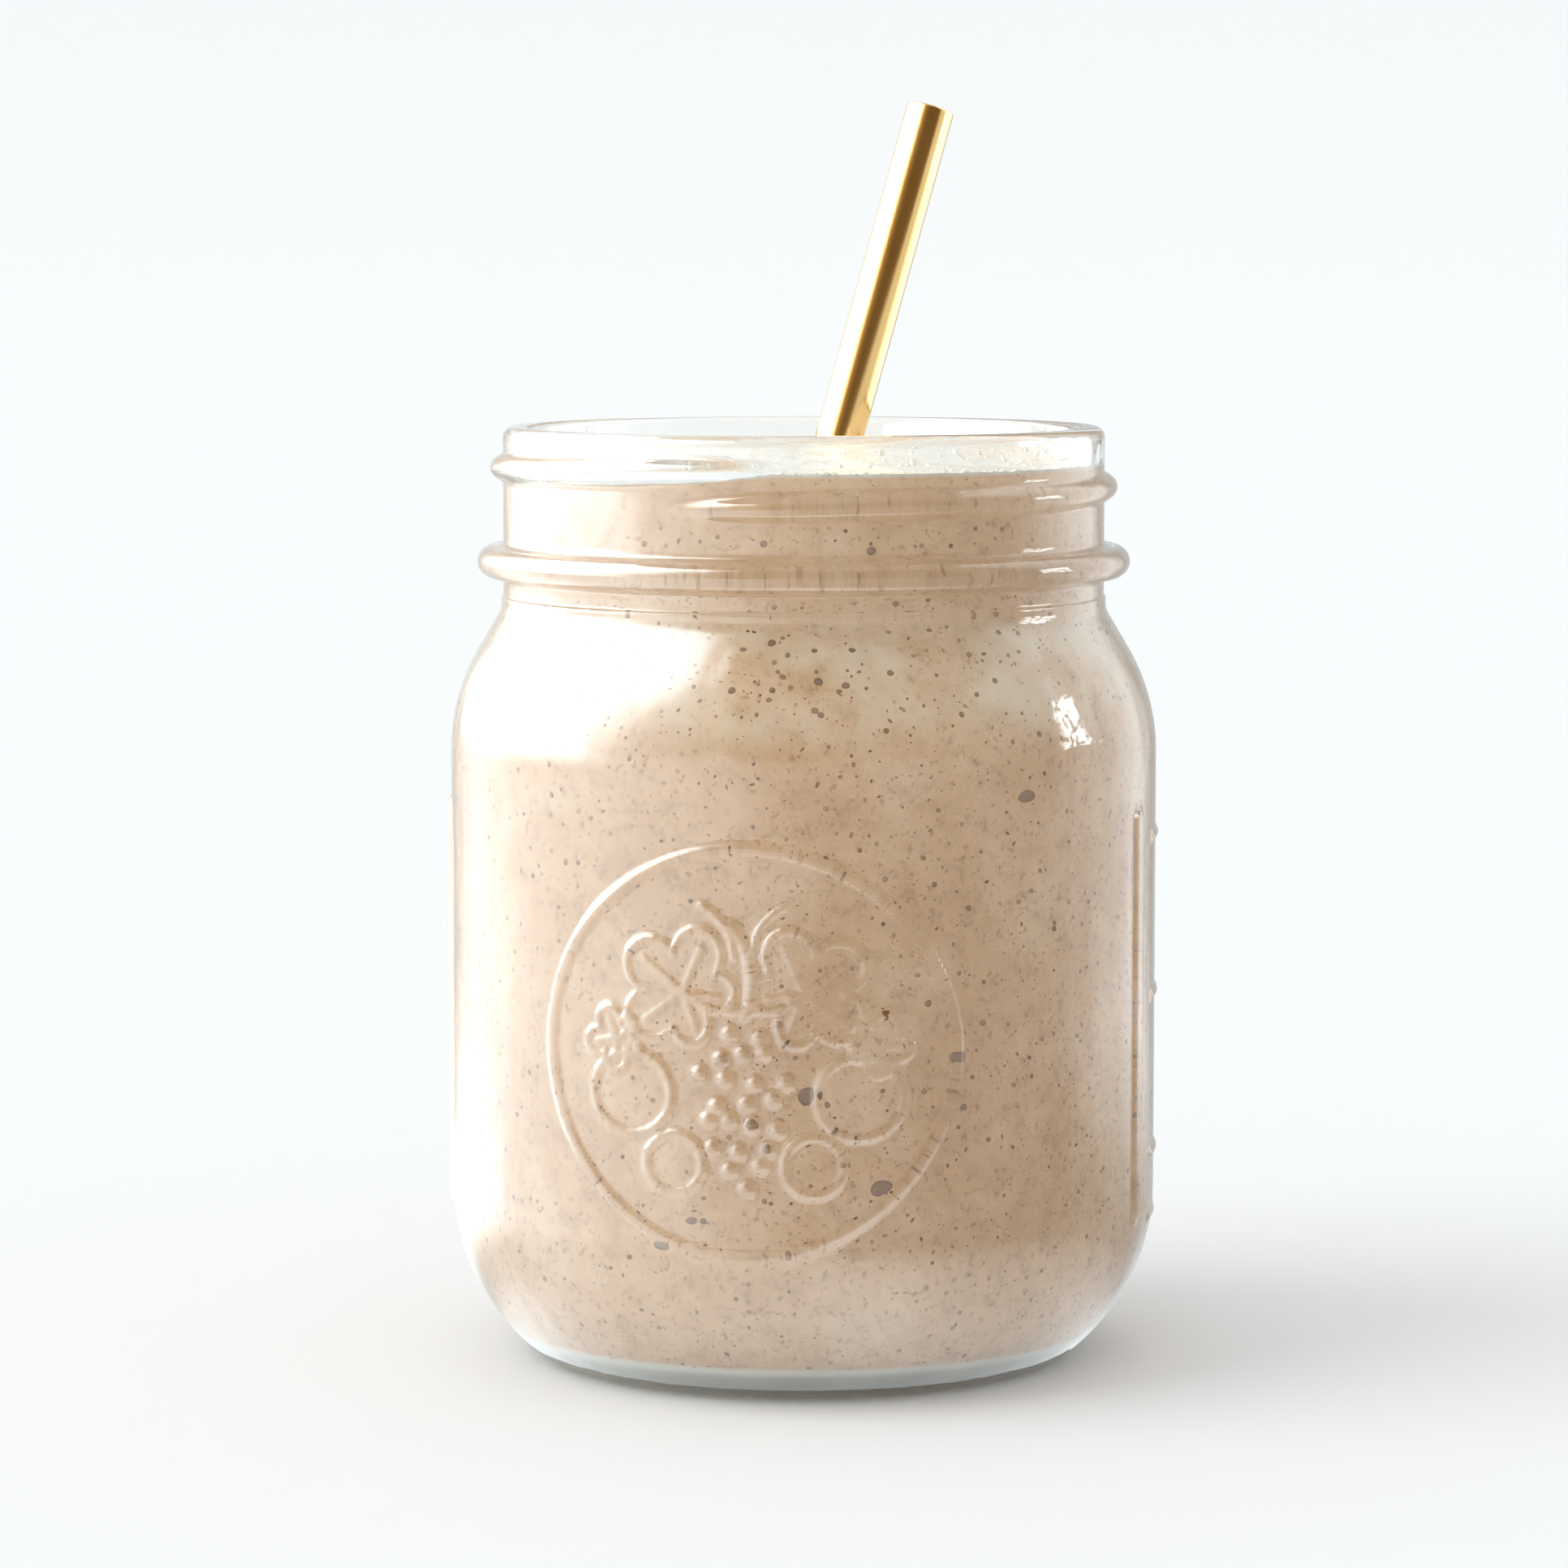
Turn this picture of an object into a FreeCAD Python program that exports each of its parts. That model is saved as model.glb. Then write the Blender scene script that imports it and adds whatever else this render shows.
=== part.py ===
import FreeCAD, Part
import math
import os

# A milkshake in a pint canning jar, with a short metal straw.
#
# Three pieces, each a separate solid:
#   jar        pressed glass, open at the mouth, with a screw thread, a carrying bead, a vertical
#              bar and volume marks on each side, and a fruit medallion in a ring on the front
#   milkshake  the drink, filling the jar up to its level and cut round the straw's tube
#   straw      a straight metal tube that stands on the jar's floor and leans on its rim
#
# Frame: millimetres, +Z up, origin at the centre of the foot ring, on the surface the jar stands on.
# The front of the jar faces -Y. An angle called "azimuth" is measured from the front, positive
# towards +X, so that azimuth 90 is the +X side.

# ---- jar, outside -------------------------------------------------------------------------------
jar_height = 114.2
body_radius = 43.25
heel_radius = 25.5          # large curve from the body down to the foot
heel_top = 21.0             # height at which that curve begins
foot_curve = 7.0            # small curve from the heel into the foot ring
foot_ring_width = 3.4
push_up = 2.0               # how far the underside rises inside the foot ring
push_up_curve = 1.5
shoulder_below_rim = 21.405  # where the shoulder's curves end and the straight neck begins
shoulder_radius = 25.0
shoulder_slope = 30.5       # degrees from upright, where the shoulder runs straight
neck_radius = 36.75
neck_curve = 3.0
mould_line_below_rim = 20.6  # where the mould's body halves meet the neck's: a fine step
mould_line_rise = 0.22

# ---- carrying bead, thread and lip ----------------------------------------------------------------
bead_below_rim = 16.4
bead_radius = 39.9
bead_nose = 1.9
bead_fillet = 0.7
thread_rise = 1.6           # how far the thread stands out from the neck
thread_width = 3.3
thread_pitch = 4.5
thread_start_below_rim = 8.7
thread_start_azimuth = -25.0
thread_turn = 378.0         # degrees
thread_runout = 26.0        # degrees over which each end fades into the neck
thread_root = 0.9           # how deep the thread's section reaches into the neck's wall
thread_start_size = 0.45    # the ridge's width at its two ends, as a share of its full width
thread_step = 6.0           # degrees between the sections that the ridge is drawn through
lip_outer_curve = 1.3
lip_inner_curve = 1.0

# ---- jar, inside ----------------------------------------------------------------------------------
body_wall = 2.8
neck_wall = 3.15
inner_neck_curve = 8.0
floor_height = 4.8
floor_curve = 4.0

# ---- relief on the body ---------------------------------------------------------------------------
medallion_azimuth = -9.5
medallion_height = 43.1     # height of the ring's centre
medallion_radius = 23.9
medallion_ring_width = 1.2
relief_rise = 0.45
relief_root = 1.0           # how deep a raised shape reaches into the wall
berry_radius = 1.75
berry_rise = 0.95
berry_rows = (2, 3, 4, 3, 4, 3, 2, 1)
berry_top = 2.4             # height of the top row above the medallion's centre
berry_step = 3.05
leaf_length = 12.5
leaf_lobes = 5
leaf_side = 7.5             # each leaf's stalk, from the medallion's middle
leaf_up = 7.2
leaf_turn = 40.0            # degrees that each leaf leans outward
fruit_radius = 4.8          # the two round fruits beside the bunch
fruit_side = 13.4
fruit_down = 5.0
small_fruit_radius = 3.4    # and the two below them
small_fruit_side = 8.2
small_fruit_down = 13.0
side_bar_azimuth = 77.6     # from the medallion, on both sides
side_bar_width = 3.6
side_bar_bottom = 18.4
side_bar_top = 69.2
mark_azimuth = 95.0         # middle of the volume marks, from the medallion
mark_length = 13.0
mark_width = 1.5
mark_volumes = (60.0, 100.0, 200.0, 300.0)   # millilitres; each mark's height follows from them
mark_rise = 0.35

# ---- drink ----------------------------------------------------------------------------------------
level_below_rim = 4.8

# ---- straw ----------------------------------------------------------------------------------------
straw_diameter = 6.0
straw_wall = 0.5
straw_length = 155.0
straw_clearance = 0.1
straw_rim_azimuth = 170.5   # where it leans on the rim
straw_foot_azimuth = 240.5  # where its lower end stands, near the floor's edge

# ---- worked out from the sizes above ----------------------------------------------------------------
inner_body_radius = body_radius - body_wall
inner_neck_radius = neck_radius - neck_wall
rim_curve_start = jar_height - lip_inner_curve
drink_level = jar_height - level_below_rim
bead_height = jar_height - bead_below_rim
lower_neck_radius = neck_radius + mould_line_rise


def point(r, z):
    """A point of the jar's half profile, in the XZ plane."""
    return FreeCAD.Vector(r, 0, z)


def line(a, b):
    return Part.makeLine(a, b)


def arc(centre, radius, start, end):
    """An arc of the half profile, from angle start to angle end, in degrees, 0 along +X and 90 along +Z."""
    angles = [math.radians(start + (end - start) * share) for share in (0.0, 0.5, 1.0)]
    ends = [point(centre[0] + radius * math.cos(a), centre[1] + radius * math.sin(a)) for a in angles]
    return Part.Arc(*ends).toShape()


def joined(pieces):
    """The given lines and arcs, in order, with a straight line across each gap between them."""
    edges = []
    for piece in pieces:
        if edges:
            last = edges[-1].valueAt(edges[-1].LastParameter)
            first = piece.valueAt(piece.FirstParameter)
            if last.distanceToPoint(first) > 1e-7:
                edges.append(line(last, first))
        edges.append(piece)
    return edges


def curve_onto_floor(centre_r, centre_z, radius, curve, floor):
    """Where a small curve joins a large arc to a level floor: the small curve's centre radius, and the
    angle, in degrees, at which it leaves the large arc."""
    drop = centre_z - (floor + curve)
    reach = math.sqrt((radius - curve) ** 2 - drop ** 2)
    return centre_r + reach, -math.degrees(math.atan2(drop, reach))


def shoulder_climb(radius, neck, neck_blend):
    """How far the shoulder climbs: its large curve, its straight slope and the small curve into the neck."""
    slope = math.radians(shoulder_slope)
    shoulder_centre = body_radius - shoulder_radius
    shoulder = radius - shoulder_centre
    slope_top_r = neck + neck_blend * (1 - math.cos(slope))
    slope_foot_r = shoulder_centre + shoulder * math.cos(slope)
    straight = (slope_foot_r - slope_top_r) / math.tan(slope)
    return shoulder * math.sin(slope) + straight + neck_blend * math.sin(slope)


def wall_edges(radius, heel, floor, curve, neck, neck_blend):
    """The heel, body, shoulder and neck curve that the jar's outside and inside share, from the floor up."""
    heel_centre = body_radius - heel_radius
    curve_r, leave = curve_onto_floor(heel_centre, heel_top, heel, curve, floor)
    shoulder_centre = body_radius - shoulder_radius
    shoulder = radius - shoulder_centre
    outer_climb = shoulder_climb(body_radius, lower_neck_radius, neck_curve)
    shoulder_start = jar_height - shoulder_below_rim - outer_climb
    neck_start = shoulder_start + shoulder_climb(radius, neck, neck_blend)
    return [
        arc((curve_r, floor + curve), curve, -90, leave),
        arc((heel_centre, heel_top), heel, leave, 0),
        arc((shoulder_centre, shoulder_start), shoulder, 0, shoulder_slope),
        arc((neck + neck_blend, neck_start), neck_blend, 180 + shoulder_slope, 180),
    ]


def outside_edges():
    """The jar's outside, from the foot ring's outer edge up to the top of the lip."""
    step, rise = jar_height - mould_line_below_rim, mould_line_rise
    nose_r = bead_radius - bead_nose
    low, high = bead_height - bead_nose, bead_height + bead_nose
    fillet_r = neck_radius + bead_fillet
    return wall_edges(body_radius, heel_radius, 0.0, foot_curve, lower_neck_radius, neck_curve) + [
        arc((neck_radius, step - rise), rise, 0, 90),
        arc((fillet_r, low - bead_fillet), bead_fillet, 180, 90),
        arc((nose_r, bead_height), bead_nose, -90, 90),
        arc((fillet_r, high + bead_fillet), bead_fillet, 270, 180),
        arc((neck_radius - lip_outer_curve, jar_height - lip_outer_curve), lip_outer_curve, 0, 90),
    ]


def inside_edges():
    """The jar's inside, from the edge of the floor up to where the lip begins to round over."""
    return wall_edges(inner_body_radius, heel_radius - body_wall, floor_height, floor_curve,
                      inner_neck_radius, inner_neck_curve)


def turned(edges):
    """The solid of revolution of a closed half profile."""
    face = Part.Face(Part.Wire(edges))
    return face.revolve(FreeCAD.Vector(0, 0, 0), FreeCAD.Vector(0, 0, 1), 360)


def jar_wall():
    """The plain glass, without its thread and relief."""
    inside = joined(inside_edges())
    floor_edge = inside[0].valueAt(inside[0].FirstParameter)
    inner_top = inside[-1].valueAt(inside[-1].LastParameter)
    inner_lip = arc((inner_neck_radius + lip_inner_curve, rim_curve_start), lip_inner_curve, 180, 90)
    outside = joined(outside_edges())
    foot_outer = outside[0].valueAt(outside[0].FirstParameter)
    foot_inner_r = foot_outer.x - foot_ring_width
    dome_r = foot_inner_r - push_up_curve
    crown = arc((dome_r, 0.0), push_up_curve, 0, 90)
    underside = [
        line(point(0, push_up), point(dome_r - push_up, push_up)),
        line(point(dome_r - push_up, push_up), point(dome_r, push_up_curve)),
        crown.reversed(),
        line(point(foot_inner_r, 0), foot_outer),
    ]
    lip_top = outside[-1].valueAt(outside[-1].LastParameter)
    return turned(
        underside + outside
        + [line(lip_top, point(inner_neck_radius + lip_inner_curve, jar_height))]
        + [inner_lip, line(point(inner_neck_radius, rim_curve_start), inner_top)]
        + inside[::-1]
        + [line(floor_edge, point(0, floor_height)), line(point(0, floor_height), point(0, push_up))]
    )


def thread():
    """The screw thread: a rounded ridge that climbs once round the neck and fades out at both ends."""
    count = int(round(thread_turn / thread_step))
    sunk = -0.15            # each end dives just under the neck's surface
    sections = []
    for i in range(count + 1):
        turned_by = thread_turn * i / count
        fade = min(turned_by, thread_turn - turned_by) / thread_runout
        size = math.sin(min(fade, 1.0) * math.pi / 2)
        rise = sunk + (thread_rise - sunk) * size
        half = thread_width / 2 * (thread_start_size + (1 - thread_start_size) * size)
        height = jar_height - thread_start_below_rim + thread_pitch * turned_by / 360
        foot = neck_radius - thread_root
        corner = neck_radius + min(rise, 0.0) - 0.1
        outline = [line(point(foot, height + half), point(foot, height - half)),
                   line(point(foot, height - half), point(corner, height - half)),
                   Part.Arc(point(corner, height - half), point(neck_radius + rise, height),
                            point(corner, height + half)).toShape(),
                   line(point(corner, height + half), point(foot, height + half))]
        section = Part.Wire(outline)
        section.rotate(FreeCAD.Vector(0, 0, 0), FreeCAD.Vector(0, 0, 1),
                       thread_start_azimuth + turned_by - 90)
        sections.append(section)
    return Part.makeLoft(sections, True, True)


def raised(face, azimuth, rise):
    """A flat face, drawn facing -Y at x, z, raised from the body by rise at that azimuth."""
    face = face.copy()
    face.translate(FreeCAD.Vector(0, -body_radius * 0.3, 0))
    block = face.extrude(FreeCAD.Vector(0, -body_radius, 0))
    root = body_radius - relief_root
    shell = Part.makeCylinder(body_radius + rise, jar_height).cut(Part.makeCylinder(root, jar_height))
    shape = block.common(shell)
    shape.rotate(FreeCAD.Vector(0, 0, 0), FreeCAD.Vector(0, 0, 1), azimuth)
    return shape


def at(x, z):
    return FreeCAD.Vector(x, 0, z)


def disc(x, z, radius):
    return Part.Face(Part.Wire(Part.makeCircle(radius, at(x, z), FreeCAD.Vector(0, 1, 0))))


def medallion_ring():
    outer = disc(0, medallion_height, medallion_radius + medallion_ring_width / 2)
    inner = disc(0, medallion_height, medallion_radius - medallion_ring_width / 2)
    return raised(outer.cut(inner), medallion_azimuth, relief_rise)


def berries():
    """A bunch of grapes, in staggered rows that narrow to a point."""
    depth = body_radius + berry_rise - berry_radius
    found = []
    for row, count in enumerate(berry_rows):
        height = medallion_height + berry_top - row * berry_step * math.sqrt(3) / 2
        for i in range(count):
            across = (i - (count - 1) / 2) * berry_step
            angle = math.degrees(math.asin(across / body_radius)) + medallion_azimuth
            ball = Part.makeSphere(berry_radius, FreeCAD.Vector(0, -depth, height))
            ball.rotate(FreeCAD.Vector(0, 0, 0), FreeCAD.Vector(0, 0, 1), angle)
            found.append(ball)
    return found


def fruit(x, z, radius):
    """A round fruit, flat as pressed glass shows it, at x, z from the medallion's centre."""
    return raised(disc(x, medallion_height + z, radius), medallion_azimuth, relief_rise)


def leaf(x, z, turn):
    """A lobed vine leaf whose stalk end is at x, z from the medallion's centre, turned by degrees."""
    notch, tip, base = 0.62, 0.92, 0.5      # how far the outline reaches, as shares of the length
    spread = 240                            # degrees from the first lobe to the last
    points = 2 * leaf_lobes + 1
    corners = []
    for i in range(points):
        angle = math.radians(turn + spread * (i / (points - 1) - 0.5))
        share = base if i in (0, points - 1) else (notch, tip)[(i + 1) % 2]
        reach = leaf_length * share
        corners.append(at(x + reach * math.sin(angle), medallion_height + z + reach * math.cos(angle)))
    corners.append(at(x, medallion_height + z))
    return raised(Part.Face(Part.makePolygon(corners + corners[:1])), medallion_azimuth, relief_rise)


def side_bar(side):
    """A tall raised bar with round ends. side is 1 for the +X side and -1 for the other."""
    half = side_bar_width / 2
    low, high = side_bar_bottom + half, side_bar_top - half
    outline = Part.Wire([
        line(at(half, low), at(half, high)),
        Part.Arc(at(half, high), at(0, side_bar_top), at(-half, high)).toShape(),
        line(at(-half, high), at(-half, low)),
        Part.Arc(at(-half, low), at(0, side_bar_bottom), at(half, low)).toShape(),
    ])
    return raised(Part.Face(outline), medallion_azimuth + side * side_bar_azimuth, relief_rise)


def filled_height(inner, volume):
    """The height up to which the jar holds a volume, in millilitres, found by halving."""
    low, high = floor_height, jar_height
    while high - low > 0.01:
        middle = (low + high) / 2
        held = inner.common(Part.makeCylinder(2 * body_radius, middle)).Volume / 1000
        low, high = (middle, high) if held < volume else (low, middle)
    return (low + high) / 2


def volume_marks(inner, side):
    """Short level bars beside the side bar, one at each marked volume."""
    half, wide = mark_length / 2, mark_width / 2
    marks = []
    for volume in mark_volumes:
        z = filled_height(inner, volume)
        corners = [at(-half, z - wide), at(half, z - wide), at(half, z + wide), at(-half, z + wide)]
        outline = Part.makePolygon(corners + corners[:1])
        marks.append(raised(Part.Face(outline), medallion_azimuth + side * mark_azimuth, mark_rise))
    return marks


def inside_up_to(level):
    """What the jar holds up to a level below its lip."""
    inside = joined(inside_edges())
    floor_edge = inside[0].valueAt(inside[0].FirstParameter)
    top = inside[-1].valueAt(inside[-1].LastParameter)
    return turned(
        [line(point(0, floor_height), floor_edge)] + inside
        + [line(top, point(inner_neck_radius, level)), line(point(inner_neck_radius, level), point(0, level))]
        + [line(point(0, level), point(0, floor_height))]
    )


def from_azimuth(radius, azimuth, z):
    angle = math.radians(azimuth)
    return FreeCAD.Vector(radius * math.sin(angle), -radius * math.cos(angle), z)


def straw_line():
    """The straw's lower end and its direction, from the floor's edge and the rim that it leans on."""
    radius = straw_diameter / 2
    floor_r = curve_onto_floor(body_radius - heel_radius, heel_top, heel_radius - body_wall,
                               floor_curve, floor_height)[0]
    foot_r = floor_r - radius - straw_clearance
    lean_r = inner_neck_radius - radius - straw_clearance
    foot_z = floor_height + straw_clearance
    for _ in range(8):
        foot = from_azimuth(foot_r, straw_foot_azimuth, foot_z)
        lean = from_azimuth(lean_r, straw_rim_azimuth, rim_curve_start)
        direction = (lean - foot).normalize()
        outward = from_azimuth(1.0, straw_rim_azimuth, 0.0)
        level_part = FreeCAD.Vector(direction.x, direction.y, 0)
        tilt = math.asin(level_part.Length)
        along = outward.dot(level_part) / level_part.Length
        reach = radius * math.sqrt((along / math.cos(tilt)) ** 2 + 1 - along ** 2)
        lean_r = inner_neck_radius - reach - straw_clearance
        foot_z = floor_height + straw_clearance + radius * math.sin(tilt)
    return foot, direction


def straw():
    """A straight tube with a rounded edge at each end."""
    foot, direction = straw_line()
    radius, edge = straw_diameter / 2, straw_wall / 2
    middle = radius - edge
    tube = [
        line(point(radius, edge), point(radius, straw_length - edge)),
        arc((middle, straw_length - edge), edge, 0, 180),
        line(point(radius - straw_wall, straw_length - edge), point(radius - straw_wall, edge)),
        arc((middle, edge), edge, 180, 360),
    ]
    shape = turned(tube)
    shape.Placement = FreeCAD.Placement(foot, FreeCAD.Rotation(FreeCAD.Vector(0, 0, 1), direction))
    return shape


def jar(inner):
    relief = [thread(), medallion_ring()]
    relief += berries()
    for side in (1, -1):
        relief.append(leaf(side * leaf_side, leaf_up, side * leaf_turn))
        relief.append(fruit(side * fruit_side, -fruit_down, fruit_radius))
        relief.append(fruit(side * small_fruit_side, -small_fruit_down, small_fruit_radius))
        relief.append(side_bar(side))
        relief += volume_marks(inner, side)
    return jar_wall().fuse(relief)


def one_solid(shape, name):
    """The single solid of a shape, checked."""
    if len(shape.Solids) != 1 or not shape.isValid():
        raise RuntimeError("%s: %d solids, valid %s" % (name, len(shape.Solids), shape.isValid()))
    return shape.Solids[0]


def main():
    os.makedirs("parts", exist_ok=True)
    inner = inside_up_to(rim_curve_start)
    tube = one_solid(straw(), "straw")
    drink = inside_up_to(drink_level).cut(tube)
    pieces = {"jar": jar(inner), "milkshake": drink, "straw": tube}
    for name, shape in pieces.items():
        solid = one_solid(shape, name)
        solid.exportStep("parts/%s.step" % name)
        box = solid.BoundBox
        print("%s: %.2f ml, x %.2f..%.2f y %.2f..%.2f z %.2f..%.2f" % (
            name, solid.Volume / 1000, box.XMin, box.XMax, box.YMin, box.YMax, box.ZMin, box.ZMax))
    foot, direction = straw_line()
    print("holds %.0f ml to the lip" % (inner.Volume / 1000), "straw foot", foot, "direction", direction)


main()
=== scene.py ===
# %% [markdown]
# # A milkshake in a pint canning jar
#
# Three things make up the object: a jar of clear pressed glass, the beige milkshake that fills it, and
# a gold-coloured metal straw. All three are already built to size, so this lesson gives each of them
# its looks, and adds the small things: specks, air bubbles and foam.
#
# Lengths below are in millimetres where a name or a comment says so, and every mesh is written in metres.

# %% Start
import math

import bpy
import numpy as np
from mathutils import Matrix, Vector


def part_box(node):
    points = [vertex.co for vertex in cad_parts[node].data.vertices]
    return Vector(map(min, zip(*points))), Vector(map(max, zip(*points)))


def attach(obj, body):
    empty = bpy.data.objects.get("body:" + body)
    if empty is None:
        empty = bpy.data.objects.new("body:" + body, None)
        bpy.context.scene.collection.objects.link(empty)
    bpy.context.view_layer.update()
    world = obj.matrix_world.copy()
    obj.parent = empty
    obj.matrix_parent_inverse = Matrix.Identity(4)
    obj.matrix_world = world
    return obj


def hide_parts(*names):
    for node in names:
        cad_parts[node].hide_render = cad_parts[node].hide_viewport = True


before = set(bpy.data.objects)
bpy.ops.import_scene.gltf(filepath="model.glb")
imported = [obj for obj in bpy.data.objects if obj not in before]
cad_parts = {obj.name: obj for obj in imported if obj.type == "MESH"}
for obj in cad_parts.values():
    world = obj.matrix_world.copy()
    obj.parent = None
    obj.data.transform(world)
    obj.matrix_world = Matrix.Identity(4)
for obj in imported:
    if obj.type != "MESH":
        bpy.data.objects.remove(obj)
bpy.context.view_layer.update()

MM = 0.001
jar_low, jar_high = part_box("jar")
drink_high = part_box("milkshake")[1]
print("jar stands from %.4f to %.4f m, the drink reaches %.4f m" % (jar_low.z, jar_high.z, drink_high.z))

# %% [markdown]
# ## The camera
#
# A long lens from a little above the rim, standing a bit more than half a metre away. The jar's axis
# is at the origin, so the camera stands straight in front of it and looks down by a few degrees.
# A lens could be given as a field of view, but focal length on a 36 mm sensor is what a maker's
# camera says, so that is what is set.

# %% Camera
camera_distance = 0.643
camera_height = 0.1364
camera_side = -0.0024
camera_down = math.radians(5.88)

lens = bpy.data.cameras.new("camera")
lens.lens = 120.6
lens.sensor_width = 36.0
lens.clip_start = 0.01
camera = bpy.data.objects.new("camera", lens)
camera.location = (camera_side, -camera_distance, camera_height)
camera.rotation_euler = (math.radians(90) - camera_down, 0, 0)
bpy.context.scene.collection.objects.link(camera)
bpy.context.scene.camera = camera
print("camera stands", tuple(round(v, 3) for v in camera.location))

# %% [markdown]
# ## Small helpers for meshes and materials
#
# Nearly every piece here is turned, as on a potter's wheel: a half profile goes round the upright
# axis. Blender's Spin tool can do it, but a grid worked out in numpy lets each row carry its own
# number of columns, so the fine relief gets many points and the plain neck gets few.
#
# An azimuth is measured from the front, -Y, and is positive towards +X.

# %% Turned shapes
def arc(centre, radius, start, end, steps):
    """Points (r, z) along an arc, angles in degrees, 0 outward and 90 up."""
    angles = np.radians(np.linspace(start, end, steps + 1))
    return [(centre[0] + radius * math.cos(a), centre[1] + radius * math.sin(a)) for a in angles]


def straight(start, end, longest):
    """Points from start to end, no further apart than longest, without the first."""
    length = math.dist(start, end)
    steps = max(1, math.ceil(length / longest - 1e-9))
    return [tuple(np.add(start, np.subtract(end, start) * i / steps)) for i in range(1, steps + 1)]


def chained(pieces, longest):
    """Arcs in order, with straight stretches between them cut to at most longest."""
    points = list(pieces[0])
    for piece in pieces[1:]:
        if math.dist(points[-1], piece[0]) > 1e-6:
            points += straight(points[-1], piece[0], longest)[:-1]
            points.append(piece[0])
        points += piece[1:]
    return points


def turned(name, profile, columns, place):
    """A closed turned mesh. profile is (r, z) in mm; columns(i) gives row i's azimuths in radians;
    place(azimuths, r, z, i) gives each point's own r and z."""
    points, rows = [], []
    for i, (r, z) in enumerate(profile):
        azimuths = columns(i) if r > 0 else np.zeros(1)
        own_r, own_z = place(azimuths, r, z, i)
        first = len(points)
        points += [(a * math.sin(t), -a * math.cos(t), h) for a, t, h in zip(own_r, azimuths, own_z)]
        rows.append((azimuths, list(range(first, first + len(azimuths)))))
    faces = []
    for low, high in zip(rows, rows[1:]):
        faces += banded(low, high)
    mesh = bpy.data.meshes.new(name)
    mesh.from_pydata((np.array(points) * MM).tolist(), [], faces)
    mesh.shade_smooth()
    mesh.validate()
    return mesh


def banded(low, high):
    """Faces between two rows. A row with one point is a pole. A finer row fans into a coarser one."""
    (low_at, low_ids), (high_at, high_ids) = low, high
    if len(low_ids) == 1 or len(high_ids) == 1:
        around = high_ids if len(low_ids) == 1 else low_ids
        pole = low_ids[0] if len(low_ids) == 1 else high_ids[0]
        pairs = zip(around, around[1:] + around[:1])
        return [(pole, b, a) if len(low_ids) == 1 else (a, b, pole) for a, b in pairs]
    shared = np.intersect1d(np.round(low_at, 9), np.round(high_at, 9))
    low_cut = np.searchsorted(np.round(low_at, 9), shared)
    high_cut = np.searchsorted(np.round(high_at, 9), shared)
    faces = []
    for k in range(len(shared)):
        under = between(low_ids, low_cut, k)
        over = between(high_ids, high_cut, k)
        faces.append(tuple(under + over[::-1]))
    return faces


def between(ids, cuts, k):
    """The points of a row from its k-th shared azimuth to the next, round the back if need be."""
    start = cuts[k]
    end = cuts[k + 1] if k + 1 < len(cuts) else cuts[0] + len(ids)
    return [ids[j % len(ids)] for j in range(start, end + 1)]


def every(degrees):
    return np.radians(np.arange(-180.0, 180.0, degrees))


def placed(mesh, name):
    piece = bpy.data.objects.new(name, mesh)
    bpy.context.scene.collection.objects.link(piece)
    return piece


def triangles(piece):
    return sum(len(p.vertices) - 2 for p in piece.data.polygons)


# %% Material helpers
def material(name, **values):
    """A new Principled material with the given socket values, its node tree and its shader."""
    made = bpy.data.materials.new(name)
    made.use_nodes = True
    shader = made.node_tree.nodes["Principled BSDF"]
    for socket, value in values.items():
        shader.inputs[socket.replace("_", " ")].default_value = value
    return made, made.node_tree, shader


def object_noise(tree, scale, detail=3.0, roughness=0.5, stretch=(1, 1, 1)):
    """A noise pattern fixed to the piece, scale in bumps per metre."""
    where = tree.nodes.new("ShaderNodeTexCoord")
    mapping = tree.nodes.new("ShaderNodeMapping")
    mapping.inputs["Scale"].default_value = stretch
    noise = tree.nodes.new("ShaderNodeTexNoise")
    noise.inputs["Scale"].default_value = scale
    noise.inputs["Detail"].default_value = detail
    noise.inputs["Roughness"].default_value = roughness
    tree.links.new(where.outputs["Object"], mapping.inputs["Vector"])
    tree.links.new(mapping.outputs["Vector"], noise.inputs["Vector"])
    return noise.outputs["Fac"]


def ramp(tree, factor, *stops):
    """A colour ramp through (position, colour) stops."""
    node = tree.nodes.new("ShaderNodeValToRGB")
    elements = node.color_ramp.elements
    while len(elements) < len(stops):
        elements.new(0.5)
    for element, (position, colour) in zip(elements, stops):
        element.position = position
        element.color = (*colour, 1.0)
    tree.links.new(factor, node.inputs["Fac"])
    return node.outputs["Color"]


def set_or_link(tree, socket, value):
    """Gives a socket a plain number or colour, or links another node's output to it."""
    if isinstance(value, bpy.types.NodeSocket):
        tree.links.new(value, socket)
    else:
        socket.default_value = value


def maths(tree, operation, *values):
    """A maths node on numbers or other nodes' outputs."""
    node = tree.nodes.new("ShaderNodeMath")
    node.operation = operation
    for socket, value in zip(node.inputs, values):
        set_or_link(tree, socket, value)
    return node.outputs[0]


def step(tree, value, none, full, kind="SMOOTHSTEP"):
    """0 where value is none, 1 where it is full, and a step between."""
    node = tree.nodes.new("ShaderNodeMapRange")
    node.interpolation_type = kind
    node.inputs["From Min"].default_value = none
    node.inputs["From Max"].default_value = full
    tree.links.new(value, node.inputs["Value"])
    return node.outputs["Result"]


def mixed(tree, factor, first, second, blend="MIX"):
    """A colour mix of two colours or other nodes' outputs."""
    node = tree.nodes.new("ShaderNodeMix")
    node.data_type, node.blend_type = "RGBA", blend
    for socket, value in ((node.inputs["Factor"], factor), (node.inputs[6], first), (node.inputs[7], second)):
        set_or_link(tree, socket, value)
    return node.outputs[2]


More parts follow.
